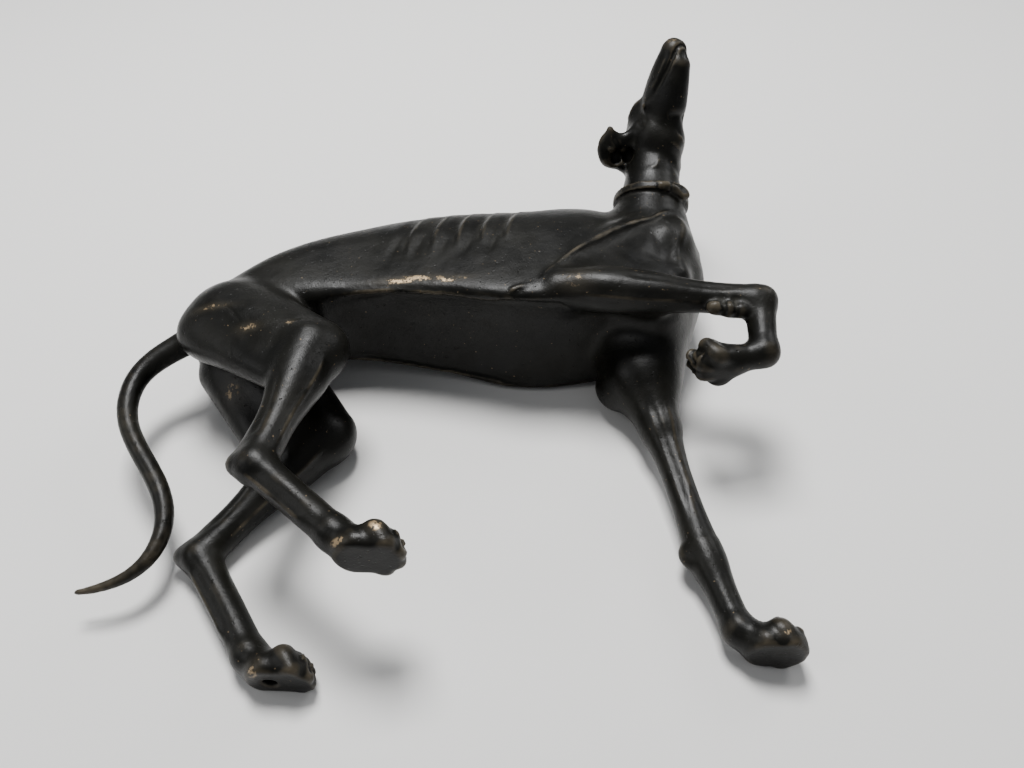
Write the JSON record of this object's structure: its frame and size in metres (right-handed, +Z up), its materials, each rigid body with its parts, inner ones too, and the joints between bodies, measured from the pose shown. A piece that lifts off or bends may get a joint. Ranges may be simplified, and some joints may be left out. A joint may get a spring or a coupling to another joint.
{
  "type": "greyhound_statue",
  "caption": "Small dark patinated cast bronze greyhound with a collar, one foreleg raised and head thrown up, lying on its left side, its base lost",
  "frame": {"origin": "middle of the bounding box on the table plane the figure lies on", "axes": "+X from tail to chest, +Y from the paws to the back, +Z up through the figure's right side"},
  "size_m": [0.3012, 0.306, 0.1224],
  "materials": {
    "patina": "semi-gloss black-brown patina on cast bronze, rubbed to warm metal on a few high spots"
  },
  "bodies": {
    "root": {"greyhound": "patina"}
  },
  "joints": []
}
